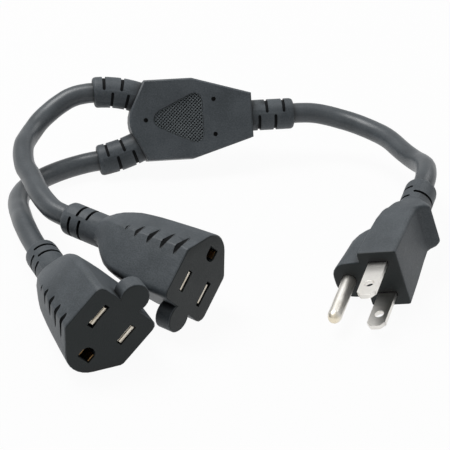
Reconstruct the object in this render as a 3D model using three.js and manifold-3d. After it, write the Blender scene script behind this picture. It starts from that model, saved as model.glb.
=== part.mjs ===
// Power cord splitter: one grounded plug, a flat joint block and two grounded sockets on round cords.
// Millimetres, Z up. Sockets and plug are built with the face in the XY plane, looking along +Z.
import * as THREE from "three";
import { mergeVertices } from "three/addons/utils/BufferGeometryUtils.js";
import Module from "manifold-3d";

const wasm = await Module();
wasm.setup();

// gaps between pieces
const seatGap = 0.3;
const slotClearance = 0.2;
const weldLength = 0.008;

// blades and pins of the grounded pattern
const bladeSpacing = 12.7;
const bladeWidth = 6.35;
const bladeThickness = 1.5;
const bladeReach = 17.5;
const groundOffset = 11.9;
const pinRadius = 2.4;
const pinReach = 21;

// cord
const cordRadius = 3.7;
const jacketBore = 3.05;
const wireRadius = 1.15;
const wireOffset = 1.55;
const cordSides = 10;
const wireSides = 8;

// strain reliefs
const reliefBore = 3.35;
const sleeveRadius = 4.5;
const reliefSlot = 1.1;

// socket
const socketLength = 58;
const socketReliefRadius = 5.7;
const socketReliefDrop = -5.65;
const frontWall = 1.5;
const contactBlockDepth = 22.4;

// plug
const plugBody = 37.5;
const plugLength = 50;
const plugReliefRadius = 5.6;
const plugReliefShift = 1.4;
const holderDepth = 9;

// joint block
const jointThickness = 13.5;
const jointReliefRadius = 5.7;
const jointReliefLength = 15.9;
const recessDepth = 0.5;
const corePinRadius = 0.85;
const crimpSpread = 5;

const root = new THREE.Group();
root.name = "power_cord_splitter";

function toSolid(geometry) {
  const bare = geometry.clone();
  bare.deleteAttribute("normal");
  bare.deleteAttribute("uv");
  const merged = mergeVertices(bare, 1e-4);
  return new wasm.Manifold(new wasm.Mesh({
    numProp: 3,
    vertProperties: new Float32Array(merged.attributes.position.array),
    triVerts: new Uint32Array(merged.index.array),
  }));
}

// collapses edges shorter than the weld length, which cuts leave where they meet by a hair
function weldShortEdges(geometry) {
  const position = geometry.attributes.position;
  const corners = Array.from(geometry.index.array);
  const owner = Array.from({ length: position.count }, (_, i) => i);
  const place = (i) => new THREE.Vector3().fromBufferAttribute(position, i);
  for (let t = 0; t < corners.length; t += 1) {
    const next = t % 3 === 2 ? t - 2 : t + 1;
    const [a, b] = [owner[corners[t]], owner[corners[next]]];
    if (a !== b && place(a).distanceTo(place(b)) < weldLength) {
      owner.forEach((one, i) => {
        owner[i] = one === b ? a : one;
      });
    }
  }
  const kept = [];
  for (let t = 0; t < corners.length; t += 3) {
    const [a, b, c] = [owner[corners[t]], owner[corners[t + 1]], owner[corners[t + 2]]];
    if (a !== b && b !== c && c !== a) {
      kept.push(a, b, c);
    }
  }
  geometry.setIndex(kept);
  return geometry;
}

function toGeometry(solid) {
  const mesh = solid.getMesh();
  const geometry = new THREE.BufferGeometry();
  geometry.setAttribute("position", new THREE.BufferAttribute(new Float32Array(mesh.vertProperties), 3));
  geometry.setIndex(new THREE.BufferAttribute(new Uint32Array(mesh.triVerts), 1));
  return weldShortEdges(geometry);
}

function cut(solid, cutters) {
  return cutters.reduce((rest, cutter) => rest.subtract(toSolid(cutter)), solid);
}

function join(geometries) {
  return geometries.slice(1).reduce((sum, one) => sum.add(toSolid(one)), toSolid(geometries[0]));
}

// a closed skin over rings with equal counts of points, each ring counter-clockwise seen from the last one
function skin(rings) {
  const count = rings[0].length;
  const points = rings.flat();
  const index = [];
  for (let r = 0; r + 1 < rings.length; r += 1) {
    for (let i = 0; i < count; i += 1) {
      const a = r * count + i;
      const b = r * count + (i + 1) % count;
      index.push(a, b, b + count, a, b + count, a + count);
    }
  }
  const flat = rings[0].map((p) => new THREE.Vector2(p.x, p.y));
  const flatEnd = rings[rings.length - 1].map((p) => new THREE.Vector2(p.x, p.y));
  const top = (rings.length - 1) * count;
  for (const [a, b, c] of THREE.ShapeUtils.triangulateShape(flat, [])) {
    index.push(a, c, b);
  }
  for (const [a, b, c] of THREE.ShapeUtils.triangulateShape(flatEnd, [])) {
    index.push(top + a, top + b, top + c);
  }
  const geometry = new THREE.BufferGeometry();
  geometry.setAttribute("position", new THREE.Float32BufferAttribute(points.flatMap((p) => [p.x, p.y, p.z]), 3));
  geometry.setIndex(index);
  return geometry;
}

function ringAt(outline, z) {
  return outline.map(([x, y]) => new THREE.Vector3(x, y, z));
}

function circleOutline(x, y, radius, count) {
  return Array.from({ length: count }, (_, i) => {
    const turn = (i / count) * 2 * Math.PI;
    return [x + radius * Math.cos(turn), y + radius * Math.sin(turn)];
  });
}

// rectangle with one corner radius for the low-x corners and one for the high-x corners
function roundedBox(xMin, xMax, yMin, yMax, lowRadius, highRadius, steps) {
  const corners = [
    [xMax - highRadius, yMin + highRadius, highRadius, -90],
    [xMax - highRadius, yMax - highRadius, highRadius, 0],
    [xMin + lowRadius, yMax - lowRadius, lowRadius, 90],
    [xMin + lowRadius, yMin + lowRadius, lowRadius, 180],
  ];
  return corners.flatMap(([x, y, radius, start]) => Array.from({ length: steps + 1 }, (_, i) => {
    const turn = THREE.MathUtils.degToRad(start + (90 * i) / steps);
    return [x + radius * Math.cos(turn), y + radius * Math.sin(turn)];
  }));
}

function prism(outline, zLow, zHigh) {
  return skin([ringAt(outline, zLow), ringAt(outline, zHigh)]);
}

function rod(x, y, radius, zLow, zHigh, sides) {
  return prism(circleOutline(x, y, radius, sides), zLow, zHigh);
}

function box(xMin, xMax, yMin, yMax, zMin, zMax) {
  const geometry = new THREE.BoxGeometry(xMax - xMin, yMax - yMin, zMax - zMin);
  return geometry.translate((xMin + xMax) / 2, (yMin + yMax) / 2, (zMin + zMax) / 2);
}

// half-round slot with round ends about the Z axis, cut down to the sleeve; facing is the mid direction
function reliefCutter(z, facing, outer) {
  const halfTurn = THREE.MathUtils.degToRad(81);
  const steps = 8;
  const profile = [[sleeveRadius, reliefSlot / 2], [outer + 1, reliefSlot / 2],
    [outer + 1, -reliefSlot / 2], [sleeveRadius, -reliefSlot / 2]];
  const rings = Array.from({ length: steps + 1 }, (_, i) => {
    const turn = facing - halfTurn + (2 * halfTurn * i) / steps;
    return profile.map(([r, h]) => new THREE.Vector3(r * Math.cos(turn), r * Math.sin(turn), z + h));
  });
  const count = profile.length;
  const index = [0, 2, 1, 0, 3, 2];
  for (let r = 0; r < steps; r += 1) {
    for (let i = 0; i < count; i += 1) {
      const a = r * count + i;
      const b = r * count + (i + 1) % count;
      index.push(a, b, b + count, a, b + count, a + count);
    }
  }
  const last = steps * count;
  index.push(last, last + 1, last + 2, last, last + 2, last + 3);
  const sector = new THREE.BufferGeometry();
  sector.setAttribute("position", new THREE.Float32BufferAttribute(
    rings.flat().flatMap((p) => [p.x, p.y, p.z]), 3));
  sector.setIndex(index);
  const ends = [-halfTurn, halfTurn].map((side) => {
    const end = new THREE.CylinderGeometry(reliefSlot / 2, reliefSlot / 2, outer + 1.05 - sleeveRadius, 8);
    end.rotateZ(-Math.PI / 2);
    end.translate((outer + 0.95 + sleeveRadius) / 2, 0, 0);
    end.rotateZ(facing + side);
    return end.translate(0, 0, z);
  });
  return [sector, ...ends];
}

// slots as [height, facing in degrees] pairs
function reliefSlots(list, outer) {
  return list.flatMap(([z, facing]) => reliefCutter(z, THREE.MathUtils.degToRad(facing), outer));
}

function finish(name, geometry, colour, roughness, metalness, matrix) {
  const made = geometry.clone();
  if (matrix) {
    made.applyMatrix4(matrix);
  }
  const material = new THREE.MeshStandardMaterial({ color: colour, roughness, metalness });
  const mesh = new THREE.Mesh(made, material);
  mesh.name = name;
  root.add(mesh);
}

// SOCKET: right half of the face outline, from the lobe side round to the ground end
const socketHalf = [
  [5.4, 8.5], [10.85, 8.5], [12.1, 8.17], [13.02, 7.25], [13.35, 6], [13.35, 1], [13.35, -4], [13.3, -8.3],
  [12.9, -9.3], [9.8, -12.5], [6.4, -16], [5.05, -17.18], [3.5, -18.06], [1.78, -18.62],
];
const socketFace = [
  [0, -18.8],
  ...socketHalf.slice().reverse(),
  [0, 8.5],
  ...socketHalf.map(([x, y]) => [-x, y]),
];
// stations: height, half width, ground-side reach, lobe-side reach, share of roundness
const socketStations = [
  [-42, 5.7, 11.35, 0.05, 1],
  [-40.3, 6.8, 12.1, -0.2, 0.9],
  [-38.2, 8.3, 13.4, 1.1, 0.78],
  [-36, 9.6, 14.5, 2.7, 0.62],
  [-33.5, 10.6, 15.4, 4.4, 0.46],
  [-30, 11.7, 16.4, 6.4, 0.28],
  [-26.5, 12.4, 16.9, 7.4, 0.14],
  [-23, 12.9, 17.3, 7.95, 0.06],
  [-18, 13.25, 17.7, 8.2, 0],
  [-9, 13.35, 18.3, 8.4, 0],
  [-0.5, 13.35, 18.75, 8.5, 0],
  [0, 12.95, 18.35, 8.1, 0],
];

function socketRing([z, halfWidth, ground, lobe, roundness]) {
  const middle = (lobe - ground) / 2;
  const half = (lobe + ground) / 2;
  return socketFace.map(([x, y]) => {
    const across = x / 13.35;
    const along = (y + 5.15) / 13.65;
    const turn = Math.atan2(along, across);
    return new THREE.Vector3(
      halfWidth * THREE.MathUtils.lerp(across, Math.cos(turn), roundness),
      middle + half * THREE.MathUtils.lerp(along, Math.sin(turn), roundness),
      z,
    );
  });
}

// the mirror image in the YZ plane, faces kept outward
function mirrored(geometry) {
  const copy = geometry.clone().scale(-1, 1, 1);
  const index = copy.index.array;
  for (let i = 0; i < index.length; i += 3) {
    [index[i], index[i + 1]] = [index[i + 1], index[i]];
  }
  return copy;
}

// lens cuts across the edge between the wide side and the slant, one row on each side
function gripCuts() {
  const radius = 2.1;
  const lean = THREE.MathUtils.degToRad(-30);
  const rows = [[-4.3, 1], [-9.9, 0.97], [-15.6, 0.92], [-21.2, 0.85], [-26.2, 0.7], [-31.1, 0.5]];
  const cutters = rows.map(([z, size]) => {
    const lens = new THREE.CylinderGeometry(radius, radius, 14, 18);
    lens.scale(1, 1, 0.5);
    lens.translate(radius - 1.62 * size, 0, 0);
    lens.rotateZ(lean);
    const drift = (1 - size) * 1.2;
    return lens.translate(13.2 - drift, drift - 8.9, z);
  });
  return cutters.flatMap((one) => [one, mirrored(one)]);
}

const blockOutline = [[10.2, 5.9], [-10.2, 5.9], [-10.2, -7.6], [-4.6, -14.6], [-3, -15.8], [3, -15.8], [4.6, -14.6],
  [10.2, -7.6]];
const blockPocket = [[10.5, 6.2], [-10.5, 6.2], [-10.5, -7.75], [-4.8, -14.85], [-3.1, -16.1], [3.1, -16.1],
  [4.8, -14.85], [10.5, -7.75]];
const socketSlots = [
  { name: "neutral", x: -bladeSpacing / 2, y: 0, halfWidth: 0.95, low: -4.3, high: 4.4 },
  { name: "line", x: bladeSpacing / 2, y: 0, halfWidth: 1.1, low: -3.65, high: 3.65 },
];

function socketOvermould() {
  const body = skin(socketStations.map(socketRing));
  const lobe = new THREE.LatheGeometry([[0, -5.8], [5, -5.8], [5, -0.4], [4.6, 0], [0, 0]]
    .map(([r, h]) => new THREE.Vector2(r, h)), 24);
  lobe.rotateX(Math.PI / 2);
  lobe.translate(0, 11.1, 0);
  const relief = new THREE.LatheGeometry([[0, -socketLength], [4.3, -socketLength], [5.1, -socketLength + 0.35],
    [5.6, -socketLength + 1.1], [socketReliefRadius, -socketLength + 2], [socketReliefRadius, -41.5], [0, -41.5]]
    .map(([r, h]) => new THREE.Vector2(r, h)), 30);
  relief.rotateX(Math.PI / 2);
  relief.translate(0, socketReliefDrop, 0);
  const solid = join([body, lobe, relief]);
  const slots = reliefSlots([[-53.6, 90], [-51.4, -90], [-49.3, 90], [-47, -90]], socketReliefRadius)
    .map((one) => one.translate(0, socketReliefDrop, 0));
  const apertures = socketSlots.map((slot) => box(slot.x - slot.halfWidth, slot.x + slot.halfWidth,
    slot.low, slot.high, -frontWall - 1, 1));
  const step = box(-bladeSpacing / 2 - 1.2, -bladeSpacing / 2 + 1.2, -4.3, -2.1, -frontWall - 1, 1);
  const groundHole = prism([[-2.5, -14.3], [2.5, -14.3], [2.5, -11.6], [2.15, -10.6], [1.35, -9.85], [0, -9.6],
    [-1.35, -9.85], [-2.15, -10.6], [-2.5, -11.6]], -frontWall - 1, 1);
  const pocket = prism(blockPocket, -contactBlockDepth - seatGap, -frontWall);
  const tail = skin([
    ringAt(circleOutline(0, socketReliefDrop, reliefBore, 16), -socketLength - 1),
    ringAt(circleOutline(0, socketReliefDrop, reliefBore, 16), -37),
    ringAt(circleOutline(0, -5.3, 5.8, 16), -33),
    ringAt(circleOutline(0, -5, 8.7, 16), -27.4),
    ringAt(circleOutline(0, -5, 8.9, 16), -contactBlockDepth),
  ]);
  return toGeometry(cut(solid, [...slots, ...gripCuts(), ...apertures, step, groundHole, pocket, tail]));
}

function socketBlock() {
  const block = toSolid(prism(blockOutline, -contactBlockDepth, -frontWall - seatGap));
  const chambers = socketSlots.map((slot) => box(slot.x - 2.1, slot.x + 2.1, -4.9, 4.7, -30, 0));
  return toGeometry(cut(block, [...chambers, box(-2.9, 2.9, -15, -9, -30, 0)]));
}

// springy U of two leaves, a strap and a crimp barrel
function contactGeometry(x, y, leafHalf, halfWidth, leafEnd, barrelX, barrelY) {
  const thick = 0.35;
  const leaves = [1, -1].map((side) => box(x + side * leafHalf - (side > 0 ? thick : 0),
    x + side * leafHalf + (side > 0 ? 0 : thick), y - halfWidth, y + halfWidth, leafEnd, -0.6));
  const bottom = box(x - leafHalf, x + leafHalf, y - halfWidth, y + halfWidth, leafEnd - thick, leafEnd + 0.05);
  const strap = skin([
    ringAt(roundedBox(barrelX - 1.2, barrelX + 1.2, barrelY - 1.75, barrelY - 1.45, 0.05, 0.05, 1), -24.2),
    ringAt(roundedBox(x - leafHalf, x + leafHalf, y - halfWidth + 0.1, y - halfWidth + 0.4, 0.05, 0.05, 1),
      leafEnd - thick + 0.1),
  ]);
  const barrel = toSolid(rod(barrelX, barrelY, 1.8, -27, -23.4, 12));
  const solid = join([...leaves, bottom, strap]).add(barrel);
  return toGeometry(cut(solid, [rod(barrelX, barrelY, 1.48, -28, -23.8, 12)]));
}

const contactSpecs = [
  { name: "neutral_contact", x: -bladeSpacing / 2, y: 0, leaf: 0.95 - slotClearance, width: 3.4, end: -17,
    barrel: [-5.4, -1.6] },
  { name: "line_contact", x: bladeSpacing / 2, y: 0, leaf: 1.1 - slotClearance, width: 3.3, end: -17,
    barrel: [5.4, -1.6] },
  { name: "ground_contact", x: 0, y: -12.5, leaf: 2.5 - slotClearance, width: 1.3, end: -21,
    barrel: [0, -10.4] },
];

// PLUG
// stations: height, low X, high X, half width, corner radius
const plugStations = [
  [-38, -4, 7.1, 5.6, 5.5],
  [-35.5, -4.1, 8.3, 6.4, 4.6],
  [-33, -4.2, 9.5, 7.6, 3.4],
  [-31, -4.2, 10.4, 8.2, 2.8],
  [-29.2, -4.2, 11.2, 8.7, 2.4],
  [-28.3, -4.4, 10.6, 8.9, 2.2],
  [-27.4, -4.8, 8.7, 9.2, 2],
  [-26, -5.2, 7.4, 9.4, 1.8],
  [-21, -5.8, 7.1, 9.9, 1.5],
  [-10, -6.3, 7.1, 10.6, 1.2],
  [-0.45, -6.6, 7, 11.1, 1],
  [0, -6.4, 6.65, 10.75, 0.8],
];
// stations of the nose over the ground pin: height, reach, half width, tip radius
const noseStations = [
  [-28.2, -5.4, 5.2, 2.2],
  [-27.4, -8, 5.4, 2.6],
  [-22.4, -8.4, 5.8, 3],
  [-21.6, -9.9, 6, 4],
  [-20, -12.4, 6.2, 5],
  [-18, -14.2, 6.3, 5.4],
  [-15.5, -15.1, 6.5, 5.5],
  [-8.4, -16, 6.7, 5.6],
  [-0.45, -17.05, 7.1, 5.7],
  [0, -16.7, 6.75, 5.4],
];

// hollow behind the blade holder: wide at the blades, slim in the nose
function plugCavity(low, shoulder, high, slim, wide) {
  const half = [[high, wide], [shoulder, wide], [shoulder - 1, slim], [low + 1.2, slim], [low, slim - 1.2]];
  return [[high, -wide], ...half, ...half.slice(1).reverse().map(([x, y]) => [x, -y])];
}

function plugOvermould() {
  const body = skin(plugStations.map(([z, low, high, half, radius]) => ringAt(
    roundedBox(low, high, -half, half, radius, radius, 6), z)));
  const nose = skin(noseStations.map(([z, reach, half, radius]) => ringAt(
    roundedBox(reach, -2, -half, half, radius, 0.5, 6), z)));
  const relief = new THREE.LatheGeometry([[0, -plugLength], [4.3, -plugLength], [5, -plugLength + 0.35],
    [5.5, -plugLength + 1.1], [plugReliefRadius, -plugLength + 1.9], [plugReliefRadius, -plugBody + 1],
    [0, -plugBody + 1]]
    .map(([r, h]) => new THREE.Vector2(r, h)), 28);
  relief.rotateX(Math.PI / 2);
  relief.translate(plugReliefShift, 0, 0);
  const solid = join([body, nose, relief]);
  const slots = reliefSlots([[-44.5, 180], [-41.8, 0], [-39.3, 180]], plugReliefRadius)
    .map((one) => one.translate(plugReliefShift, 0, 0));
  const apertures = [1, -1].map((side) => box(-bladeWidth / 2 - slotClearance, bladeWidth / 2 + slotClearance,
    (side * bladeSpacing) / 2 - bladeThickness / 2 - slotClearance,
    (side * bladeSpacing) / 2 + bladeThickness / 2 + slotClearance, -frontWall - 1, 1));
  const pinHole = rod(-groundOffset, 0, pinRadius + slotClearance, -frontWall - 1, 1, 20);
  const slim = prism(roundedBox(-14.9, -6, -4.9, 4.9, 3.5, 0.5, 3), -holderDepth - seatGap, -frontWall);
  const wide = prism(roundedBox(-6.4, 4.8, -8.4, 8.4, 1, 1, 3), -holderDepth - seatGap, -frontWall);
  const bore = circleOutline(0, 0, reliefBore / Math.cos(Math.PI / 10), 10).map(([x, y]) => {
    const turn = Math.atan2(y, x) - Math.PI / 10;
    const reach = Math.hypot(x, y);
    return [plugReliefShift + reach * Math.cos(turn), reach * Math.sin(turn)];
  });
  const tail = skin([
    ringAt(bore, -plugLength - 1),
    ringAt(bore, -34),
    ringAt(plugCavity(-1.6, 0.4, 4.8, 2.4, 3.9), -32.3),
    ringAt(plugCavity(-4, -0.5, 5, 2.6, 4.8), -26.5),
    ringAt(plugCavity(-7, -1.8, 4.8, 2.8, 6.4), -22),
    ringAt(plugCavity(-12.4, -3, 4.8, 3, 8), -16.5),
    ringAt(plugCavity(-14.15, -4.1, 4.8, 3.2, 8.6), -13.9),
    ringAt(plugCavity(-14.5, -4.3, 4.8, 3.2, 8.75), -holderDepth),
  ]);
  return toGeometry(cut(solid, [...slots, ...apertures, pinHole, slim, wide, tail]));
}

function plugHolder() {
  const slim = prism(roundedBox(-14.6, -6, -4.6, 4.6, 3.3, 0.5, 3), -holderDepth, -frontWall - seatGap);
  const wide = prism(roundedBox(-6.1, 4.5, -8.1, 8.1, 0.8, 0.8, 3), -holderDepth, -frontWall - seatGap);
  const bladeHoles = [1, -1].map((side) => box(-bladeWidth / 2 - seatGap, bladeWidth / 2 + seatGap,
    (side * bladeSpacing) / 2 - bladeThickness / 2 - seatGap,
    (side * bladeSpacing) / 2 + bladeThickness / 2 + seatGap, -20, 1));
  return toGeometry(cut(join([slim, wide]), [...bladeHoles,
    rod(-groundOffset, 0, pinRadius + seatGap, -20, 1, 20)]));
}

function bladeGeometry(side) {
  const half = bladeWidth / 2;
  const shape = new THREE.Shape([[-half, -10], [half, -10], [half, bladeReach - 2], [half - 1.6, bladeReach],
    [-half + 1.6, bladeReach], [-half, bladeReach - 2]].map(([x, y]) => new THREE.Vector2(x, y)));
  const hole = new THREE.Path();
  hole.absarc(0, 11.3, 1.6, 0, 2 * Math.PI, true);
  shape.holes.push(hole);
  const blade = new THREE.ExtrudeGeometry(shape, { depth: bladeThickness, bevelEnabled: false, curveSegments: 9 });
  blade.translate(0, 0, -bladeThickness / 2);
  blade.rotateX(Math.PI / 2);
  const barrel = rod(0, 0, 1.85, -13.4, -9.6, 12);
  const solid = join([blade, barrel]);
  const made = toGeometry(cut(solid, [rod(0, 0, 1.48, -14, -10.2, 12)]));
  return made.translate(0, (side * bladeSpacing) / 2, 0);
}

function groundPin() {
  const slit = 0.3;
  const pin = new THREE.LatheGeometry([[0, -13.4], [1.9, -13.4], [1.9, -9.9], [pinRadius, -9.9],
    [pinRadius, pinReach - 2.6], [2.15, pinReach - 1.5], [1.6, pinReach - 0.55], [0.85, pinReach - 0.1], [0, pinReach]]
    .map(([r, h]) => new THREE.Vector2(r, h)), 24);
  pin.rotateX(Math.PI / 2);
  const seam = box(-3, -1.2, -slit / 2, slit / 2, 1, pinReach - 1.2);
  const made = toGeometry(cut(toSolid(pin), [rod(0, 0, 1.48, -14, -10.4, 12), seam]));
  return made.translate(-groundOffset, 0, 0);
}

// JOINT BLOCK: X towards the plug cord, Y up across the block, Z out of the recessed face
const jointOutline = [[-17.2, -14.7], [0.4, -14.7], [22.1, -8.15], [22.1, 8.15], [0.4, 14.7], [-17.2, 14.7],
  [-22.4, 4.4], [-23.05, 2.2], [-23.25, 0], [-23.05, -2.2], [-22.4, -4.4]];
const carrierOutline = [[-6, -8.4], [2, -8.4], [9.5, -7.6], [9.5, 7.6], [2, 8.4], [-6, 8.4]];
const carrierHalf = 4.2;

// where each strain relief leaves the block: root centre, heading in the block's plane, turn over its length
const jointExits = {
  plug: { x: 22.1, y: 0, heading: 0, turn: 0 },
  rear: { x: -20, y: 9.2, heading: 160, turn: 23 },
  front: { x: -20, y: -9.2, heading: 204, turn: -16 },
};

// point on the bent centre line of a relief, with its direction and the in-plane sideways direction
function reliefPoint(exit, along) {
  const turn = THREE.MathUtils.degToRad(exit.turn);
  const bent = Math.max(0, along) / jointReliefLength;
  const start = THREE.MathUtils.degToRad(exit.heading);
  const curve = turn / jointReliefLength;
  const reach = bent > 0 && turn !== 0 ? Math.sin(turn * bent) / curve : along;
  const lift = bent > 0 && turn !== 0 ? (1 - Math.cos(turn * bent)) / curve : 0;
  const heading = start + turn * bent;
  return {
    centre: new THREE.Vector3(exit.x + reach * Math.cos(start) - lift * Math.sin(start),
      exit.y + reach * Math.sin(start) + lift * Math.cos(start), 0),
    forward: new THREE.Vector3(Math.cos(heading), Math.sin(heading), 0),
    side: new THREE.Vector3(-Math.sin(heading), Math.cos(heading), 0),
  };
}

// carry a shape built along Z onto the relief: its X becomes sideways, its Y the block's Z
function bendOnto(geometry, exit) {
  const position = geometry.attributes.position;
  for (let i = 0; i < position.count; i += 1) {
    const at = reliefPoint(exit, position.getZ(i));
    const moved = at.centre.addScaledVector(at.side, position.getX(i));
    position.setXYZ(i, moved.x, moved.y, position.getY(i));
  }
  return geometry;
}

function jointRelief(exit) {
  const upper = exit.heading > 90 ? 180 : 0;
  const straight = [-3, ...[0, 0.15, 0.32, 0.54, 0.78, 1].map((share) => share * (jointReliefLength - 2.5))];
  const lip = [[1.3, 0], [0.6, 0.2], [0.2, 0.6], [0, 1.2]];
  const tube = skin([
    ...straight.map((h) => ringAt(circleOutline(0, 0, jointReliefRadius, 24), h)),
    ...lip.map(([back, drop]) => ringAt(circleOutline(0, 0, jointReliefRadius - drop, 24), jointReliefLength - back)),
  ]);
  const slots = reliefSlots([[0.18, 180], [0.36, 0], [0.555, 180], [0.755, 0]]
    .map(([share, facing]) => [share * jointReliefLength, facing + upper]), jointReliefRadius);
  return bendOnto(toGeometry(cut(toSolid(tube), slots)), exit);
}

function reliefBoreCutter(exit) {
  const heights = [-3.5, ...[0, 0.17, 0.34, 0.51, 0.68, 0.85, 1].map((share) => share * jointReliefLength),
    jointReliefLength + 1.1];
  return bendOnto(skin(heights.map((h) => ringAt(circleOutline(0, 0, reliefBore, 14), h))), exit);
}

// a shape built along Z with X across the block and Y through it
function alongBlock(geometry) {
  return geometry.applyMatrix4(new THREE.Matrix4().makeBasis(
    new THREE.Vector3(0, 1, 0), new THREE.Vector3(0, 0, 1), new THREE.Vector3(1, 0, 0)));
}

function softRing(low, high, zLow, zHigh, x) {
  return ringAt(roundedBox(low, high, zLow, zHigh, 1, 1, 3), x);
}

function triangleRecess() {
  const corners = [[0.9, -6.2, 3, -117.7, 0], [0.9, 6.2, 3, 0, 117.7], [-10.9, 0, 3.5, 117.7, 242.3]];
  const outline = corners.flatMap(([x, y, radius, from, to]) => Array.from({ length: 7 }, (_, i) => {
    const turn = THREE.MathUtils.degToRad(THREE.MathUtils.lerp(from, to, i / 6));
    return [x + radius * Math.cos(turn), y + radius * Math.sin(turn)];
  }));
  return prism(outline, jointThickness / 2 - recessDepth, jointThickness);
}

function jointOvermould() {
  const bevel = 0.6;
  const shape = new THREE.Shape(jointOutline.map(([x, y]) => new THREE.Vector2(x, y)));
  const body = new THREE.ExtrudeGeometry(shape, {
    depth: jointThickness - 2 * bevel, bevelEnabled: true, bevelSize: bevel, bevelOffset: -bevel,
    bevelThickness: bevel, bevelSegments: 1,
  });
  body.translate(0, 0, -jointThickness / 2 + bevel);
  const exits = Object.values(jointExits);
  const solid = join([body, ...exits.map(jointRelief)]);
  const pocket = prism(carrierOutline.map(([x, y]) => [x + Math.sign(x) * seatGap, y + Math.sign(y) * seatGap]),
    -carrierHalf - seatGap, carrierHalf + seatGap);
  const upperFan = alongBlock(skin([
    softRing(5.4, 10.8, -2.9, 2.9, -18.6),
    softRing(4.9, 11.6, -2.9, 2.9, -17.6),
    softRing(1.9, 11.8, -2.6, 2.9, -15.6),
    softRing(-0.2, 11.4, -1.4, 2.9, -13.6),
    softRing(-6.9, 6.9, -0.1, 2.9, -7.2),
    softRing(-6.9, 6.9, -0.1, 2.9, -6.1),
  ]));
  const lowerFan = alongBlock(skin([
    softRing(-11, -4.9, -2.9, 2.9, -18.6),
    softRing(-11.2, -4, -2.9, 2.9, -17.6),
    softRing(-11.7, -2.5, -2.9, 2.6, -15.6),
    softRing(-11.4, 0.4, -2.9, 1.2, -13.6),
    softRing(-6.9, 6.9, -2.9, 0.1, -7.2),
    softRing(-6.9, 6.9, -2.9, 0.1, -6.1),
  ]));
  const plugFan = alongBlock(skin([
    softRing(-6.6, 6.6, -1.9, 1.9, 9.6),
    softRing(-5.4, 5.8, -2.6, 2.6, 14),
    softRing(-3.4, 3.4, -3, 3, 20.5),
  ]));
  const pins = [[-17.2, 0, 3.7], [8.05, 6.45, 4], [8.05, -6.45, 4]].map(([x, y, floor]) => rod(x, y, corePinRadius,
    floor, jointThickness, 12));
  return toGeometry(cut(solid, [pocket, upperFan, lowerFan, plugFan, ...exits.map(reliefBoreCutter),
    triangleRecess(), ...pins]));
}

function spliceCarrier() {
  const channels = [crimpSpread, 0, -crimpSpread].map((y) => box(-10, 12, y - 2.15, y + 2.15, -3.4, 3.4));
  return toGeometry(cut(toSolid(prism(carrierOutline, -carrierHalf, carrierHalf)), channels));
}

function crimpSleeve(y) {
  const outer = alongBlock(prism(roundedBox(y - 1.8, y + 1.8, -3, 3, 1.75, 1.75, 3), -4, 4));
  const inner = alongBlock(prism(roundedBox(y - 1.5, y + 1.5, -2.7, 2.7, 1.45, 1.45, 3), -5, 5));
  return toGeometry(cut(toSolid(outer), [inner]));
}

// POSES
function pose(x, y, heading, pitch, roll, geometry) {
  const turn = (axis, degrees) => new THREE.Matrix4().makeRotationAxis(axis, THREE.MathUtils.degToRad(degrees));
  const matrix = turn(new THREE.Vector3(0, 0, 1), heading)
    .multiply(turn(new THREE.Vector3(1, 0, 0), pitch))
    .multiply(turn(new THREE.Vector3(0, 0, 1), roll));
  const lowest = new THREE.Box3().setFromBufferAttribute(geometry.clone().applyMatrix4(matrix).attributes.position);
  return matrix.setPosition(x, y, -lowest.min.z);
}

const socketShape = socketOvermould();
const plugShape = plugOvermould();
const jointShape = jointOvermould();
const poses = {
  front: pose(-35.18, -91.46, 23.2, 90, -45, socketShape),
  rear: pose(-9.81, -66.32, 51.5, 90, 134.1, socketShape),
  plug: pose(51.81, -56.9, -17.35, 98.45, 14.9, plugShape),
  joint: pose(-12.55, 49.2, 7, 60, 0, jointShape),
};

// CORDS: hand-chosen points between the two strain reliefs, from the joint block outwards
const cordRoutes = {
  front: [[-54.6, 36, 4.6], [-63.7, 29.9, 4.1], [-70.1, 21, 4.7], [-73, 10.5, 6.2],
    [-72.6, -0.3, 8.1], [-70.8, -11, 10.2], [-68.4, -21.7, 12], [-64.9, -32.1, 12]],
  rear: [[-56.6, 48.7, 26.2], [-65.2, 42.6, 22.3], [-70.3, 32.9, 19.7], [-72.1, 21.7, 19.7],
    [-70.9, 10.4, 18.9], [-67.3, -0.4, 18.9], [-64, -11.3, 19], [-58.7, -21.4, 18.4]],
  plug: [[33.5, 54.3, 16.9], [43.8, 51.9, 15.5], [52.8, 46.3, 14.6], [59.6, 38, 14.8],
    [63.9, 28.2, 15], [68.1, 18.4, 16], [70.5, 8.4, 19], [69.9, -2.1, 20.4]],
};
const cordSteps = { front: 13, rear: 13, plug: 12 };

// a path through fixed stations, so that everything inside a cord bends at the same places
class StationPath extends THREE.Curve {
  constructor(stations) {
    super();
    this.stations = stations;
  }

  getPoint(t) {
    const place = Math.min(t, 1) * (this.stations.length - 1);
    const below = Math.min(Math.floor(place), this.stations.length - 2);
    return this.stations[below].clone().lerp(this.stations[below + 1], place - below);
  }

  getPointAt(u) {
    return this.getPoint(u);
  }

  getTangentAt(u) {
    const place = Math.round(u * (this.stations.length - 1));
    const before = this.stations[Math.max(place - 1, 0)];
    const after = this.stations[Math.min(place + 1, this.stations.length - 1)];
    return after.clone().sub(before).normalize();
  }

  getSpacedPoints(count) {
    return Array.from({ length: count + 1 }, (_, i) => this.getPoint(i / count));
  }
}

function sweep(stations, outline, hole) {
  const shape = new THREE.Shape(outline.map(([x, y]) => new THREE.Vector2(x, y)));
  if (hole) {
    shape.holes.push(new THREE.Path(hole.map(([x, y]) => new THREE.Vector2(x, y))));
  }
  const made = new THREE.ExtrudeGeometry(shape, {
    steps: stations.length - 1, bevelEnabled: false, extrudePath: new StationPath(stations),
  });
  return toGeometry(toSolid(made));
}

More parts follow.
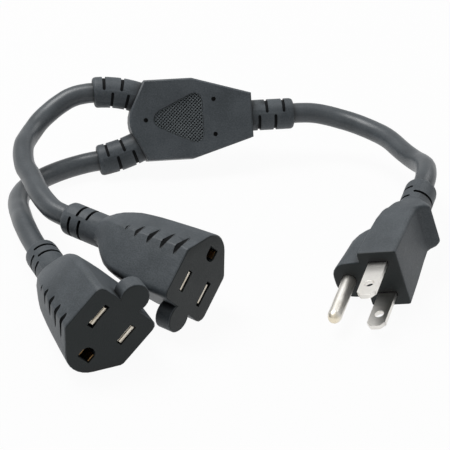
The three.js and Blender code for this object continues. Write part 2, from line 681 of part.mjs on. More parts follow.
// the three wires inside each end, in that end's own coordinates: angle in the bore, then the way to the metal
const wireNames = ["line", "neutral", "ground"];
const connectors = {
  front: { shift: 0, drop: socketReliefDrop, length: socketLength, inner: 37, matrix: poses.front },
  rear: { shift: 0, drop: socketReliefDrop, length: socketLength, inner: 37, matrix: poses.rear },
  plug: { shift: plugReliefShift, drop: 0, length: plugLength, inner: 33.6, matrix: poses.plug },
};
const socketAngles = { line: 30, neutral: 150, ground: 270 };
const plugAngles = { line: 60, neutral: 300, ground: 180 };
const socketLeads = {
  line: [[3, -3.6, -32], [5.4, -1.6, -27.6], [5.4, -1.6, -24.6]],
  neutral: [[-3, -3.6, -32], [-5.4, -1.6, -27.6], [-5.4, -1.6, -24.6]],
  ground: [[0, -8.5, -32], [0, -10.4, -27.6], [0, -10.4, -24.6]],
};
const plugLeads = {
  line: [[2.1, 2.6, -28], [1.2, 4.7, -21], [0, 6.25, -14.5], [0, 6.35, -11]],
  neutral: [[2.1, -2.6, -28], [1.2, -4.7, -21], [0, -6.25, -14.5], [0, -6.35, -11]],
  ground: [[-1.6, 0, -26], [-4.9, 0, -21.4], [-9.6, 0, -17], [-11.9, 0, -14.2], [-11.9, 0, -11]],
};
// lanes across the joint block, and the angle of each lane's wire in the bore
const lanes = { line: 1, ground: 0, neutral: -1 };
const laneAngles = { line: 0, ground: 120, neutral: 240 };
// the fans inside the block, from the splice outwards
const fans = {
  rear: {
    line: [[-0.6, 5, 1.35], [-7.2, 5, 1.35], [-13.9, 9.7, 1.35], [-15.9, 10.2, 0.6]],
    ground: [[-0.6, 0, 1.35], [-7.2, 0, 1.35], [-13.9, 5.95, 1.35], [-15.9, 7.3, 1.34]],
    neutral: [[-0.6, -5, 1.35], [-7.2, -5, 1.35], [-13.9, 2.2, 1.35], [-15.9, 5, -1]],
  },
  front: {
    line: [[-0.6, 5, -1.35], [-7.2, 5, -1.35], [-13.9, -2.2, -1.35], [-15.9, -4.9, -0.6]],
    ground: [[-0.6, 0, -1.35], [-7.2, 0, -1.35], [-13.9, -5.95, -1.35], [-15.9, -8, 0.9]],
    neutral: [[-0.6, -5, -1.35], [-7.2, -5, -1.35], [-13.9, -9.7, -1.35], [-15.9, -10, -1.34]],
  },
  plug: {
    line: [[0.6, 5, 0], [5, 5, 0], [14, 4, 0]],
    ground: [[0.6, 0, 0], [5, 0, 0], [14, 0.2, 0.9]],
    neutral: [[0.6, -5, 0], [5, -5, 0], [14, -3.5, -0.5]],
  },
};

function polar(centre, right, up, degrees) {
  const turn = THREE.MathUtils.degToRad(degrees);
  return centre.clone()
    .addScaledVector(right, wireOffset * Math.cos(turn))
    .addScaledVector(up, wireOffset * Math.sin(turn));
}

function worldVector(x, y, z, matrix) {
  return new THREE.Vector3(x, y, z).transformDirection(matrix);
}

// one cord with its three wires, all bending at the same stations
function cord(name) {
  const exit = jointExits[name];
  const end = connectors[name];
  const mouth = reliefPoint(exit, jointReliefLength);
  const inJoint = (point) => point.clone().applyMatrix4(poses.joint);
  const inEnd = (x, y, z) => new THREE.Vector3(x, y, z).applyMatrix4(end.matrix);
  const leave = (reach) => inJoint(mouth.centre.clone().addScaledVector(mouth.forward, reach));
  const arrive = (reach) => inEnd(end.shift, end.drop, -end.length - reach);
  const route = [leave(2.5), ...cordRoutes[name].map((p) => new THREE.Vector3(...p)), arrive(2.5)];
  const curve = new THREE.CatmullRomCurve3(route, false, "centripetal");
  const stations = [leave(seatGap), ...curve.getSpacedPoints(cordSteps[name] - 2), arrive(seatGap)];
  const path = new StationPath(stations);
  finish(`${name}_cord_jacket`, sweep(stations, circleOutline(0, 0, cordRadius, cordSides),
    circleOutline(0, 0, jacketBore, cordSides)), "#3c4148", 0.55, 0);

  const sense = exit.heading > 90 ? -1 : 1;
  const frames = stations.map((_, i) => ({ tangent: path.getTangentAt(i / (stations.length - 1)) }));
  let normal = worldVector(mouth.side.x * sense, mouth.side.y * sense, 0, poses.joint);
  for (const frame of frames) {
    normal = normal.clone().addScaledVector(frame.tangent, -normal.dot(frame.tangent)).normalize();
    frame.normal = normal;
    frame.binormal = frame.tangent.clone().cross(normal);
  }
  const last = frames[frames.length - 1];
  const right = worldVector(1, 0, 0, end.matrix);
  const rightAngle = THREE.MathUtils.radToDeg(Math.atan2(right.dot(last.binormal), right.dot(last.normal)));
  const angles = name === "plug" ? plugAngles : socketAngles;
  const leads = name === "plug" ? plugLeads : socketLeads;
  const rawTwist = rightAngle + angles.line;
  const twist = rawTwist - 360 * Math.round(rawTwist / 360);
  for (const wire of wireNames) {
    const blockUp = new THREE.Vector3(0, 0, 1);
    const inBore = [0, 8].map((along) => {
      const at = reliefPoint(exit, along);
      return inJoint(polar(at.centre, at.side.multiplyScalar(sense), blockUp, laneAngles[wire]));
    });
    const inJacket = frames.map((frame, i) => polar(stations[i], frame.normal, frame.binormal,
      sense * laneAngles[wire] + (twist * i) / (frames.length - 1)));
    const turn = THREE.MathUtils.degToRad(angles[wire]);
    const inRelief = [end.length - 7, end.inner].map((depth) => inEnd(end.shift + wireOffset * Math.cos(turn),
      end.drop + wireOffset * Math.sin(turn), -depth));
    const way = [...fans[name][wire].map((p) => inJoint(new THREE.Vector3(...p))), ...inBore, ...inJacket,
      ...inRelief, ...leads[wire].map((p) => inEnd(...p))];
    finish(`${name}_${wire}_wire`, sweep(way, circleOutline(0, 0, wireRadius, wireSides)),
      { line: "#1d1d1f", neutral: "#d9d9d4", ground: "#2f7a3d" }[wire], 0.5, 0);
  }
}

const shell = "#3a3f46";
const inner = "#22252a";
const nickel = "#c9c7c0";
const bronze = "#b9a98a";

finish("plug_overmould", plugShape, shell, 0.6, 0, poses.plug);
finish("plug_blade_holder", plugHolder(), inner, 0.5, 0, poses.plug);
finish("line_blade", bladeGeometry(1), nickel, 0.3, 1, poses.plug);
finish("neutral_blade", bladeGeometry(-1), nickel, 0.3, 1, poses.plug);
finish("ground_pin", groundPin(), nickel, 0.3, 1, poses.plug);

finish("joint_overmould", jointShape, shell, 0.6, 0, poses.joint);
finish("joint_splice_carrier", spliceCarrier(), inner, 0.5, 0, poses.joint);
for (const wire of wireNames) {
  finish(`${wire}_splice`, crimpSleeve(crimpSpread * lanes[wire]), bronze, 0.35, 1, poses.joint);
}

const blockShape = socketBlock();
for (const name of ["front", "rear"]) {
  finish(`${name}_socket_overmould`, socketShape, shell, 0.6, 0, poses[name]);
  finish(`${name}_contact_block`, blockShape, inner, 0.5, 0, poses[name]);
  for (const spec of contactSpecs) {
    finish(`${name}_${spec.name}`, contactGeometry(spec.x, spec.y, spec.leaf, spec.width, spec.end, ...spec.barrel),
      bronze, 0.35, 1, poses[name]);
  }
}

for (const name of ["plug", "front", "rear"]) {
  cord(name);
}

// the frame's origin lies under the middle of the rigid pieces, on the table
const rigid = new THREE.Box3();
for (const mesh of root.children.filter((one) => !/_jacket|_wire/.test(one.name))) {
  rigid.expandByObject(mesh, true);
}
for (const mesh of root.children) {
  mesh.geometry.translate(-(rigid.min.x + rigid.max.x) / 2, -(rigid.min.y + rigid.max.y) / 2, -rigid.min.z);
}

export default root;
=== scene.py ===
import math
import bpy
from mathutils import Matrix, Vector


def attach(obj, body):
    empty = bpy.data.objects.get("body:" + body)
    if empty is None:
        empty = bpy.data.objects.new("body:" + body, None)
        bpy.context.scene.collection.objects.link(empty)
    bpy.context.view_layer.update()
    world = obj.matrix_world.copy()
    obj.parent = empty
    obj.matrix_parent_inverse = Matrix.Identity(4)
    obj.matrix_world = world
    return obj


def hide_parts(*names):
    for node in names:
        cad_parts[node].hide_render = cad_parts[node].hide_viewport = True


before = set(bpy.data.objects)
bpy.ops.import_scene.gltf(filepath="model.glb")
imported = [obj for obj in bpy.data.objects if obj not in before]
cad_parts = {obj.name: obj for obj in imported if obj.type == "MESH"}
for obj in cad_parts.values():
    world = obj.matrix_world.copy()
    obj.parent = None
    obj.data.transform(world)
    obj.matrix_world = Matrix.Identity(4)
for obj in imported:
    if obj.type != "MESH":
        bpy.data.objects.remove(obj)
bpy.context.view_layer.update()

mm = 0.001


def deselectAll():
    if bpy.context.mode != "OBJECT":
        bpy.ops.object.mode_set(mode="OBJECT")
    bpy.ops.object.select_all(action="DESELECT")


# Camera: a long lens in front of the table, fitted to the blades and slots
camera = {"place": (-0.00317, -0.634076, 0.37099), "tilt": 60.353, "lens": 169.6}
bpy.ops.object.camera_add(location=camera["place"], rotation=(math.radians(camera["tilt"]), 0, 0))
bpy.context.scene.camera = bpy.context.object
bpy.context.object.data.lens = camera["lens"]
bpy.context.object.data.sensor_width = 36
bpy.context.object.data.clip_start = 0.01
print("camera set")


# Where each moulding lies: its own zero point, then heading, pitch and roll
moulding = {
    "front": ((-38.350, -73.706, 15.807), 23.2, 90, -45),
    "rear": ((-12.980, -48.566, 14.397), 51.5, 90, 134.1),
    "plug": ((48.640, -39.146, 12.002), -17.35, 98.45, 14.9),
    "joint": ((-15.720, 66.954, 17.225), 7, 60, 0),
}


def lay(name):
    place, heading, pitch, roll = moulding[name]
    turned = Matrix.Identity(4)
    for angle, axis in ((heading, "Z"), (pitch, "X"), (roll, "Z")):
        turned = turned @ Matrix.Rotation(math.radians(angle), 4, axis)
    return Matrix.Translation(Vector(place) * mm) @ turned


class Link:  # a shader socket that can be used in sums
    def __init__(self, tree, socket):
        self.tree = tree
        self.socket = socket

    def sum(self, operation, first, second):
        node = self.tree.nodes.new("ShaderNodeMath")
        node.operation = operation
        plugIn(self.tree, node.inputs[0], first)
        plugIn(self.tree, node.inputs[1], second)
        return Link(self.tree, node.outputs[0])

    def __add__(self, other):
        return self.sum("ADD", self, other)

    def __radd__(self, other):
        return self.sum("ADD", other, self)

    def __sub__(self, other):
        return self.sum("SUBTRACT", self, other)

    def __rsub__(self, other):
        return self.sum("SUBTRACT", other, self)

    def __mul__(self, other):
        return self.sum("MULTIPLY", self, other)

    def __pow__(self, other):
        return self.sum("POWER", self, other)

    def larger(self, other):
        return self.sum("MAXIMUM", self, other)


def plugIn(tree, entry, value):
    if isinstance(value, Link):
        tree.links.new(value.socket, entry)
    else:
        entry.default_value = value


class Finish:  # one material and its nodes
    def __init__(self, name, constants):
        self.material = bpy.data.materials.new(name)
        self.material.use_nodes = True
        self.tree = self.material.node_tree
        self.shader = self.tree.nodes["Principled BSDF"]
        for entry, value in constants.items():
            self.shader.inputs[entry].default_value = value

    def node(self, kind, settings=(), inputs=(), output=0):
        made = self.tree.nodes.new("ShaderNode" + kind)
        for key, value in dict(settings).items():
            setattr(made, key, value)
        for key, value in dict(inputs).items():
            plugIn(self.tree, made.inputs[key], value)
        return Link(self.tree, made.outputs[output])

    def place(self, pose=None):  # object coordinates, turned back to the moulding's own if it has a pose
        found = self.node("TexCoord", output="Object")
        if pose is None:
            return found
        back = pose.inverted()
        return self.node("Mapping", {"vector_type": "POINT"},
                         {"Vector": found, "Location": back.translation, "Rotation": back.to_euler("XYZ")})

    def axis(self, place, letter):
        return self.node("SeparateXYZ", (), {0: place}, "XYZ".index(letter))

    def noise(self, place, scale, detail=2.0):
        return self.node("TexNoise", (), {"Vector": place, "Scale": scale, "Detail": detail})

    def span(self, value, low, high):
        return self.node("MapRange", {"interpolation_type": "SMOOTHSTEP"},
                         {"Value": value, "From Min": low, "From Max": high})

    def blend(self, share, first, second):
        return self.node("Mix", {"data_type": "RGBA"}, {0: share, 6: first, 7: second}, 2)

    def bump(self, height, strength, distance):
        return self.node("Bump", (), {"Height": height, "Strength": strength, "Distance": distance})

    def aoPaintedShade(self, reach, power):  # ambient occlusion for painted shade: 1 in the open, towards 0 in slots and corners
        return self.node("AmbientOcclusion", {"samples": 12}, {"Distance": reach}, 1) ** power

    def use(self, entry, value):
        plugIn(self.tree, self.shader.inputs[entry], value)


vinyl = {
    "colour": (0.056, 0.066, 0.074, 1),
    "pale": (0.100, 0.114, 0.126, 1),
    # near-black painted shade, blended in where ambient occlusion finds slots, corners and junctions
    "paintedShade": (0.004, 0.0045, 0.005, 1),
    # painted shade: a connector's face turns away from the key lamp, so its colour is darkened here
    "face": (0.008, 0.0125, 0.0135, 1),
    "faceShadeDepth": 0.35 * mm,  # how far behind its face a connector gets the painted shade of its face
    "faceShadeFade": 0.25 * mm,
    # painted shade for the walls inside grips and relief slots
    "slit": (0.0035, 0.004, 0.0045, 1),
    "slitPale": (0.008, 0.009, 0.010, 1),
    "cordDark": (0.046, 0.055, 0.062, 1),
    "cordPale": (0.082, 0.094, 0.104, 1),
    # painted highlight: the raised ribs of the recess mesh are paler than the shell's vinyl
    "ribDark": (0.10, 0.115, 0.125, 1),
    "ribPale": (0.16, 0.18, 0.19, 1),
    "grain": 1900,
    "grainDepth": 0.11 * mm,
}


def shellVinyl(name, faceShadeDepth=0):
    made = Finish("shell_vinyl_" + name, {"Specular IOR Level": 0.32})
    own = made.place(lay(name))
    grain = made.noise(own, vinyl["grain"], 3)
    cloud = made.noise(own, 110, 3)
    scuff = made.span(made.noise(own, 420, 4), 0.6, 0.78)
    tone = made.blend(made.span(grain * 0.5 + cloud * 0.5, 0.32, 0.72), vinyl["colour"], vinyl["pale"])
    tone = made.blend(scuff * 0.18, tone, vinyl["pale"])
    # painted shade on the connector's face, in a thin band just behind it
    if faceShadeDepth:
        face = made.span(made.axis(own, "Z"), -faceShadeDepth, -faceShadeDepth + vinyl["faceShadeFade"])
        tone = made.blend(face, tone, vinyl["face"])
    # painted shade: the shell darkens towards near-black in slots, corners and junctions
    made.use("Base Color", made.blend(1 - made.aoPaintedShade(3.2 * mm, 2.4), tone, vinyl["paintedShade"]))
    made.use("Roughness", 0.42 + cloud * 0.14 - scuff * 0.08)
    made.use("Normal", made.bump(grain + scuff * 0.3, 0.55, vinyl["grainDepth"]))
    return made.material


def slitVinyl():  # painted shade: a near-black colour for the walls inside grips and relief slots
    made = Finish("slit_vinyl", {"Specular IOR Level": 0.15})
    fine = made.noise(made.place(), 1400, 2)
    made.use("Base Color", made.blend(fine, vinyl["slit"], vinyl["slitPale"]))
    made.use("Roughness", 0.7 + fine * 0.15)
    made.use("Normal", made.bump(fine, 0.2, 0.03 * mm))
    return made.material


def cordVinyl(name, reach, dark, pale):
    made = Finish(name, {"Specular IOR Level": 0.5})
    own = made.place()
    fine = made.noise(own, 1500, 3)
    cloud = made.noise(own, 90, 3)
    tone = made.blend(made.span(cloud * 0.6 + fine * 0.4, 0.3, 0.7), dark, pale)
    # painted shade: the cord darkens towards near-black where it meets mouldings and other cords
    if reach:
        tone = made.blend(1 - made.aoPaintedShade(reach, 1.5), tone, vinyl["paintedShade"])
    made.use("Base Color", tone)
    made.use("Roughness", 0.3 + cloud * 0.14)
    made.use("Normal", made.bump(fine, 0.2, 0.02 * mm))
    return made.material


def insertPlastic():
    made = Finish("insert_plastic", {})
    own = made.place()
    fine = made.noise(own, 1800, 2)
    made.use("Base Color", made.blend(fine, (0.008, 0.009, 0.010, 1), (0.016, 0.017, 0.019, 1)))
    made.use("Roughness", 0.5 + fine * 0.15)
    made.use("Normal", made.bump(fine, 0.3, 0.03 * mm))
    return made.material


def plating(name, bright, dull, rough, reach, tip=None):
    made = Finish(name, {"Metallic": 1.0})
    own = made.place(lay("plug")) if tip else made.place()
    cloud = made.noise(own, 260, 4)
    fine = made.noise(own, 3200, 2)
    tone = made.blend(made.span(cloud, 0.35, 0.7), bright, dull)
    if tip:
        tone = made.blend(made.span(made.axis(own, "Z"), tip["from"], tip["to"]) * 0.35, tone, tip["colour"])
    # painted shade: the metal darkens towards dark brown in its slots and corners
    if reach:
        tone = made.blend(1 - made.aoPaintedShade(reach, 1.5), tone, (0.03, 0.025, 0.02, 1))
    made.use("Base Color", tone)
    made.use("Roughness", rough + cloud * 0.1 + fine * 0.04)
    made.use("Normal", made.bump(cloud * 0.3 + fine * 0.4, 0.1, 0.004 * mm))
    return made.material


def wireCover(name, low, high):
    made = Finish(name, {})
    fine = made.noise(made.place(), 900, 3)
    made.use("Base Color", made.blend(fine, low, high))
    made.use("Roughness", 0.38 + fine * 0.15)
    made.use("Normal", made.bump(fine, 0.2, 0.02 * mm))
    return made.material


finishes = {
    "shell_front": shellVinyl("front", vinyl["faceShadeDepth"]),
    "shell_rear": shellVinyl("rear", vinyl["faceShadeDepth"]),
    "shell_plug": shellVinyl("plug", vinyl["faceShadeDepth"]),
    "shell_joint": shellVinyl("joint"),
    "cord": cordVinyl("cord_vinyl", 2.5 * mm, vinyl["cordDark"], vinyl["cordPale"]),
    "rib": cordVinyl("rib_painted_highlight", 0, vinyl["ribDark"], vinyl["ribPale"]),
    "insert": insertPlastic(),
    "slit": slitVinyl(),
    "nickel": plating("nickel_plate", (0.86, 0.84, 0.80, 1), (0.74, 0.72, 0.68, 1), 0.24, 0),
    "pin": plating("pin_plate", (0.88, 0.86, 0.81, 1), (0.76, 0.73, 0.67, 1), 0.33, 0,
                   {"from": 18.5 * mm, "to": 21 * mm, "colour": (0.80, 0.62, 0.28, 1)}),
    "contact": plating("contact_strip", (0.80, 0.75, 0.66, 1), (0.66, 0.60, 0.50, 1), 0.4, 0),
    "ground": plating("ground_strip", (0.55, 0.34, 0.15, 1), (0.36, 0.20, 0.08, 1), 0.3, 0.8 * mm),
    "line": wireCover("line_cover", (0.012, 0.012, 0.013, 1), (0.022, 0.022, 0.024, 1)),
    "neutral": wireCover("neutral_cover", (0.62, 0.62, 0.59, 1), (0.72, 0.72, 0.7, 1)),
    "earth": wireCover("ground_cover", (0.02, 0.13, 0.04, 1), (0.03, 0.18, 0.06, 1)),
}
print("finishes made")


# Cords: the routes of the three cords, from the joint block to the strain relief they go into, in metres
cordDiameter = 7.4 * mm
routes = {
    "plug": [
        (0.0220, 0.0716, 0.0172), (0.0245, 0.0719, 0.0172), (0.0296, 0.0721, 0.0170), (0.0346, 0.0714, 0.0164),
        (0.0395, 0.0701, 0.0156), (0.0441, 0.0680, 0.0151), (0.0483, 0.0652, 0.0147), (0.0520, 0.0617, 0.0146),
        (0.0552, 0.0577, 0.0147), (0.0577, 0.0533, 0.0148), (0.0597, 0.0486, 0.0149), (0.0617, 0.0439, 0.0151),
        (0.0637, 0.0393, 0.0155), (0.0655, 0.0345, 0.0164), (0.0667, 0.0299, 0.0179), (0.0674, 0.0250, 0.0192),
        (0.0672, 0.0200, 0.0200), (0.0666, 0.0149, 0.0204), (0.0654, 0.0100, 0.0201), (0.0647, 0.0076, 0.0197)],
    "front": [
        (-0.0499, 0.0560, 0.0054), (-0.0523, 0.0555, 0.0052), (-0.0573, 0.0540, 0.0046),
        (-0.0619, 0.0515, 0.0043), (-0.0661, 0.0484, 0.0041), (-0.0696, 0.0446, 0.0042),
        (-0.0725, 0.0403, 0.0045), (-0.0746, 0.0355, 0.0051), (-0.0758, 0.0305, 0.0058),
        (-0.0763, 0.0254, 0.0067), (-0.0761, 0.0202, 0.0076), (-0.0755, 0.0151, 0.0085),
        (-0.0746, 0.0101, 0.0096), (-0.0736, 0.0051, 0.0105), (-0.0726, 0.0000, 0.0115),
        (-0.0713, -0.0050, 0.0121), (-0.0697, -0.0100, 0.0121), (-0.0679, -0.0149, 0.0120),
        (-0.0659, -0.0197, 0.0118), (-0.0649, -0.0220, 0.0118)],
    "rear": [
        (-0.0518, 0.0683, 0.0272), (-0.0542, 0.0680, 0.0271), (-0.0594, 0.0666, 0.0263),
        (-0.0638, 0.0642, 0.0246), (-0.0677, 0.0611, 0.0226), (-0.0708, 0.0569, 0.0211),
        (-0.0729, 0.0522, 0.0199), (-0.0744, 0.0470, 0.0195), (-0.0752, 0.0417, 0.0197),
        (-0.0752, 0.0364, 0.0195), (-0.0746, 0.0310, 0.0191), (-0.0735, 0.0258, 0.0188),
        (-0.0717, 0.0208, 0.0189), (-0.0700, 0.0157, 0.0189), (-0.0685, 0.0105, 0.0190),
        (-0.0667, 0.0054, 0.0190), (-0.0644, 0.0006, 0.0187), (-0.0616, -0.0040, 0.0184),
        (-0.0578, -0.0077, 0.0183), (-0.0559, -0.0093, 0.0183)],
}


def layCord(name, route):
    line = bpy.data.curves.new(name + "_cord", "CURVE")
    line.dimensions = "3D"
    line.bevel_depth = cordDiameter / 2
    line.bevel_resolution = 7
    line.resolution_u = 5
    line.use_fill_caps = True
    spline = line.splines.new("BEZIER")
    spline.bezier_points.add(len(route) - 1)
    for point, place in zip(spline.bezier_points, route):
        point.co = place
        point.handle_left_type = point.handle_right_type = "AUTO"
    line.materials.append(finishes["cord"])
    piece = bpy.data.objects.new(name + "_cord", line)
    bpy.context.scene.collection.objects.link(piece)
    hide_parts(name + "_cord_jacket")
    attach(piece, "root")


for name, route in routes.items():
    layCord(name, route)
print("cords laid")


# Mouldings and metal: each one is the CAD solid, merged and smoothed, with its edges kept
def smoothCopy(node, finish, angle, rounding=0.0):
    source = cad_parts[node]
    piece = bpy.data.objects.new(node + "_skin", source.data.copy())
    bpy.context.scene.collection.objects.link(piece)
    deselectAll()
    piece.select_set(True)
    bpy.context.view_layer.objects.active = piece
    bpy.ops.object.mode_set(mode="EDIT")
    bpy.ops.mesh.select_all(action="SELECT")
    bpy.ops.mesh.remove_doubles(threshold=0.004 * mm)
    bpy.ops.mesh.dissolve_limited(angle_limit=math.radians(0.6))
    bpy.ops.object.mode_set(mode="OBJECT")
    if rounding:
        bpy.ops.object.modifier_add(type="BEVEL")
        edge = piece.modifiers[-1]
        edge.width = rounding
        edge.segments = 2
        edge.limit_method = "ANGLE"
        edge.angle_limit = math.radians(50)
        edge.use_clamp_overlap = True
        bpy.ops.object.modifier_apply(modifier=edge.name)
    bpy.ops.object.shade_smooth_by_angle(angle=math.radians(angle))
    bpy.ops.object.modifier_add(type="WEIGHTED_NORMAL")
    piece.modifiers[-1].keep_sharp = True
    bpy.ops.object.modifier_apply(modifier=piece.modifiers[-1].name)
    piece.data.materials.clear()
    piece.data.materials.append(finishes[finish])
    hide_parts(node)
    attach(piece, "root")
    return piece


# Slits: where each connector's grip cuts and relief slots lie, in its own millimetres
socketSlits = {"axis": (0, -5.65), "relief": (-57, -44), "inside": 5.5, "grips": (-34, -2.5)}
slits = {
    "front": socketSlits,
    "rear": socketSlits,
    "plug": {"axis": (1.4, 0), "relief": (-47, -37.5), "inside": 5.4, "grips": None},
}
slitWalls = {"bore": 3.6, "gripSide": 6.5, "gripTop": -2, "lean": (-0.36, 0.2)}


# gives the walls of the grip cuts and relief slots the near-black painted shade
def paintSlitShade(piece, name):
    spec = slits[name]
    back = lay(name).inverted()
    piece.data.materials.append(finishes["slit"])
    for face in piece.data.polygons:
        x, y, z = (back @ face.center) / mm
        lean = (back.to_3x3() @ face.normal).z
        fromAxis = math.hypot(x - spec["axis"][0], y - spec["axis"][1])
        leaning = not slitWalls["lean"][0] <= lean <= slitWalls["lean"][1]
        inSlot = spec["relief"][0] < z < spec["relief"][1] and slitWalls["bore"] < fromAxis < spec["inside"]
        inGrip = (spec["grips"] and spec["grips"][0] < z < spec["grips"][1]
                  and abs(x) > slitWalls["gripSide"] and y < slitWalls["gripTop"] and leaning)
        if inSlot or inGrip:
            face.material_index = 1


for node, name in (("front_socket_overmould", "front"), ("rear_socket_overmould", "rear"),
                   ("plug_overmould", "plug"), ("joint_overmould", "joint")):
    piece = smoothCopy(node, "shell_" + name, 34)
    if name in slits:
        paintSlitShade(piece, name)
for node in ("line_blade", "neutral_blade"):
    smoothCopy(node, "nickel", 30, 0.28 * mm)
smoothCopy("ground_pin", "pin", 34)
print("mouldings and metal dressed")


# Leaf pairs: the closed lips of each blade contact, which fill its slot a little below the face
leafPair = {
    "slots": ((-6.35, -3.35, 3.35), (6.35, -3.25, 3.25)),  # middle, low end and high end of each slot
    "half": 0.39,
    "top": -0.35,
    "depth": 2.6,
    "groove": 0.22,
    "bevel": 0.08,
}


def makeLeafPair(name, index, slot):
    middle, low, high = slot
    deselectAll()
    bpy.ops.mesh.primitive_cube_add(size=1, location=(0, 0, 0))
    piece = bpy.context.object
    piece.name = f"{name}_leaf_pair_{index}"
    bpy.ops.object.mode_set(mode="EDIT")
    bpy.ops.mesh.select_all(action="SELECT")
    bpy.ops.transform.resize(value=(2 * leafPair["half"] * mm, (high - low) * mm, leafPair["depth"] * mm))
    bpy.ops.transform.translate(value=(middle * mm, (low + high) / 2 * mm,
                                       (leafPair["top"] - leafPair["depth"] / 2) * mm))
    bpy.ops.mesh.bisect(plane_co=(middle * mm, 0, 0), plane_no=(1, 0, 0))  # the line where the two leaves meet
    bpy.ops.mesh.select_all(action="DESELECT")
    bpy.ops.object.mode_set(mode="OBJECT")
    for corner in piece.data.vertices:
        corner.select = abs(corner.co.x - middle * mm) < 0.01 * mm and corner.co.z > (leafPair["top"] - 0.1) * mm
    bpy.ops.object.mode_set(mode="EDIT")
    bpy.ops.mesh.select_mode(type="VERT")
    bpy.ops.transform.translate(value=(0, 0, -leafPair["groove"] * mm))
    bpy.ops.object.mode_set(mode="OBJECT")
    bpy.ops.object.modifier_add(type="BEVEL")
    piece.modifiers[-1].width = leafPair["bevel"] * mm
    piece.modifiers[-1].segments = 2
    bpy.ops.object.modifier_apply(modifier=piece.modifiers[-1].name)
    piece.data.transform(lay(name))
    piece.data.materials.append(finishes["contact"])
    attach(piece, "root")


for name in ("front", "rear"):
    for index, slot in enumerate(leafPair["slots"]):
        makeLeafPair(name, index, slot)
print("leaf pairs made")


# Mesh plate: the crossed ribs on the floor of the joint block's triangular recess
meshPlate = {
    "pitch": 0.91 * mm,
    "rows": 30,
    "floor": 6.27 * mm,
    "rib": 0.36 * mm,
    "height": 0.26 * mm,
    "middle": -4.5 * mm,
    "least": 0.25,  # smallest top face that is opened, as a share of the pitch squared
    "sink": 0.8,  # how deep it is opened, as a share of the height
    # outward direction in degrees and reach of each side and rounded corner
    "sides": ((0, 3.75), (115.6, 8.05), (-115.6, 8.05), (58.9, 8.62), (-58.9, 8.62),
              (180, 14.2), (149, 12.69), (-149, 12.69)),
}


def makeMeshPlate():
    top = meshPlate["floor"] + meshPlate["height"]
    deselectAll()
    bpy.ops.mesh.primitive_grid_add(x_subdivisions=meshPlate["rows"], y_subdivisions=meshPlate["rows"],
                                    size=meshPlate["pitch"] * meshPlate["rows"], location=(0, 0, 0))
    piece = bpy.context.object
    piece.name = "recess_mesh"
    bpy.ops.object.mode_set(mode="EDIT")
    bpy.ops.mesh.select_all(action="SELECT")
    bpy.ops.transform.rotate(value=math.radians(45), orient_axis="Z", center_override=(0, 0, 0))
    bpy.ops.transform.translate(value=(meshPlate["middle"], 0, top))
    for degrees, reach in meshPlate["sides"]:
        outward = Vector((math.cos(math.radians(degrees)), math.sin(math.radians(degrees)), 0))
        bpy.ops.mesh.select_all(action="SELECT")
        bpy.ops.mesh.bisect(plane_co=outward * reach * mm, plane_no=outward, clear_outer=True)
    bpy.ops.mesh.select_all(action="SELECT")
    bpy.ops.mesh.extrude_region_move(TRANSFORM_OT_translate={"value": (0, 0, -meshPlate["height"])})
    bpy.ops.mesh.select_all(action="SELECT")
    bpy.ops.mesh.normals_make_consistent(inside=False)
    bpy.ops.mesh.select_all(action="DESELECT")
    bpy.ops.object.mode_set(mode="OBJECT")
    least = meshPlate["least"] * meshPlate["pitch"] ** 2
    for face in piece.data.polygons:
        face.select = face.normal.z > 0.9 and face.center.z > top - 0.02 * mm and face.area > least
    bpy.ops.object.mode_set(mode="EDIT")
    bpy.ops.mesh.select_mode(type="FACE")
    bpy.ops.mesh.inset(thickness=meshPlate["rib"] / 2, use_individual=True)
    bpy.ops.transform.translate(value=(0, 0, -meshPlate["sink"] * meshPlate["height"]))
    bpy.ops.object.mode_set(mode="OBJECT")
    # painted highlight on the ribs, painted shade on the sunk floors between them
    piece.data.materials.append(finishes["rib"])
    piece.data.materials.append(finishes["slit"])
    for face in piece.data.polygons:
        face.material_index = int(abs(face.normal.z) > 0.9 and face.center.z < top - 0.1 * mm)
    piece.data.transform(lay("joint"))
    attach(piece, "root")


makeMeshPlate()
print("mesh plate made")


# Slot floors: the sleeve under the slots of the joint block's three strain reliefs, in the near-black painted
# slit shade
slotFloor = {
    "radius": 5.2 * mm,
    "from": 0.4,
    "to": 14.2,
    "length": 15.9,
    # root in the block's plane, heading and turn over the relief's length
    "reliefs": {"plug": (22.1, 0, 0, 0), "rear": (-20, 9.2, 160, 23), "front": (-20, -9.2, 204, -16)},
}


def makeSlotFloor(name, x, y, heading, turn):
    line = bpy.data.curves.new(name + "_slot_floor", "CURVE")
    line.dimensions = "3D"
    line.bevel_depth = slotFloor["radius"]
    line.bevel_resolution = 8
    line.use_fill_caps = True
    spline = line.splines.new("BEZIER")
    spline.bezier_points.add(4)
    start = math.radians(heading)
    for index, point in enumerate(spline.bezier_points):
        along = slotFloor["from"] + (slotFloor["to"] - slotFloor["from"]) * index / 4
        bent = math.radians(turn) * along / slotFloor["length"]
        reach = along if not turn else math.sin(bent) * along / bent
        lift = 0 if not turn else (1 - math.cos(bent)) * along / bent
        own = Vector((x + reach * math.cos(start) - lift * math.sin(start),
                      y + reach * math.sin(start) + lift * math.cos(start), 0))
        point.co = lay("joint") @ (own * mm)
        point.handle_left_type = point.handle_right_type = "AUTO"
    # painted shade: the sleeve takes the near-black slit colour
    line.materials.append(finishes["slit"])
    piece = bpy.data.objects.new(name + "_slot_floor", line)
    bpy.context.scene.collection.objects.link(piece)
    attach(piece, "root")


for name, relief in slotFloor["reliefs"].items():
    makeSlotFloor(name, *relief)
print("slot floors made")


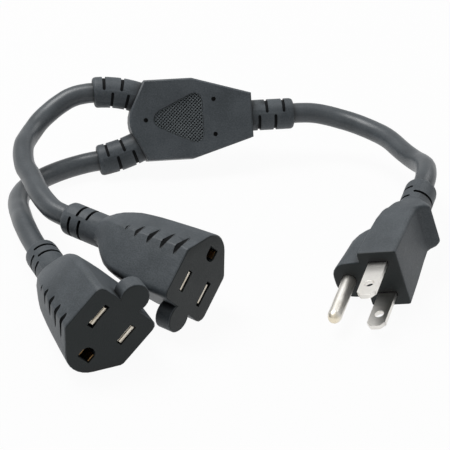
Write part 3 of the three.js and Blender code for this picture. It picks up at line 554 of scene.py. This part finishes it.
# Plain CAD nodes keep their shape and get their finish
def finishOf(node):
    if node.endswith("_wire"):
        return {"line": "line", "neutral": "neutral", "ground": "earth"}[node.split("_")[1]]
    if node in ("front_ground_contact", "rear_ground_contact"):
        return "ground"
    if node.endswith(("_contact", "_splice")):
        return "contact"
    return "insert"


for node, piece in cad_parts.items():
    if not piece.hide_render:
        piece.data.materials.clear()
        piece.data.materials.append(finishes[finishOf(node)])
print("inner pieces dressed")


# Floor, lamps and world: a white sweep that keeps the shadow
studio = {
    "floorShare": 0.95,
    "key": {"place": (-0.35, 0.25, 0.95), "watts": 7.6, "size": 0.5},
    "rim": {"place": (0.45, 0.5, 0.55), "watts": 1.0, "size": 0.4},
    "fill": {"place": (-0.35, -0.8, 0.6), "watts": 0.4, "size": 0.8},
    "world": 0.2,
    "mirrorShare": 0.5,
    "rays": ("Is Camera Ray", "Is Glossy Ray", "Is Transmission Ray"),
}


def makeFloor():
    deselectAll()
    bpy.ops.mesh.primitive_plane_add(size=6, location=(0, 0, -0.05 * mm))
    floor = bpy.context.object
    floor.name = "floor"
    made = Finish("white_floor", {"Base Color": (0.75, 0.75, 0.75, 1), "Roughness": 0.6})
    direct, mirrored, through = [made.node("LightPath", output=ray) for ray in studio["rays"]]
    glow = made.node("Emission", (), {"Color": (1, 1, 1, 1), "Strength": 1.0})
    mixed = made.node("MixShader", (), {0: direct.larger(mirrored).larger(through) * studio["floorShare"],
                                        1: Link(made.tree, made.shader.outputs[0]), 2: glow})
    made.tree.links.new(mixed.socket, made.tree.nodes["Material Output"].inputs[0])
    floor.data.materials.append(made.material)


def makeLamp(name):
    lamp = studio[name]
    deselectAll()
    toward = Vector((0, 0, 0.01)) - Vector(lamp["place"])
    bpy.ops.object.light_add(type="AREA", location=lamp["place"],
                             rotation=toward.to_track_quat("-Z", "Y").to_euler())
    bpy.context.object.name = name + "_lamp"
    bpy.context.object.data.energy = lamp["watts"]
    bpy.context.object.data.size = lamp["size"]


def makeWorld():
    world = bpy.data.worlds.new("white_room")
    bpy.context.scene.world = world
    world.use_nodes = True
    tree = world.node_tree
    path = tree.nodes.new("ShaderNodeLightPath")
    direct, mirrored, through = [Link(tree, path.outputs[ray]) for ray in studio["rays"]]
    background = tree.nodes["Background"]
    background.inputs[0].default_value = (1, 1, 1, 1)
    lift = 1 - studio["world"]
    strength = studio["world"] + direct.larger(through) * lift + mirrored * lift * studio["mirrorShare"]
    plugIn(tree, background.inputs[1], strength.sum("MINIMUM", strength, 1.0))


makeFloor()
for name in ("key", "rim", "fill"):
    makeLamp(name)
makeWorld()
bpy.context.scene.view_settings.view_transform = "Standard"
print("studio set")
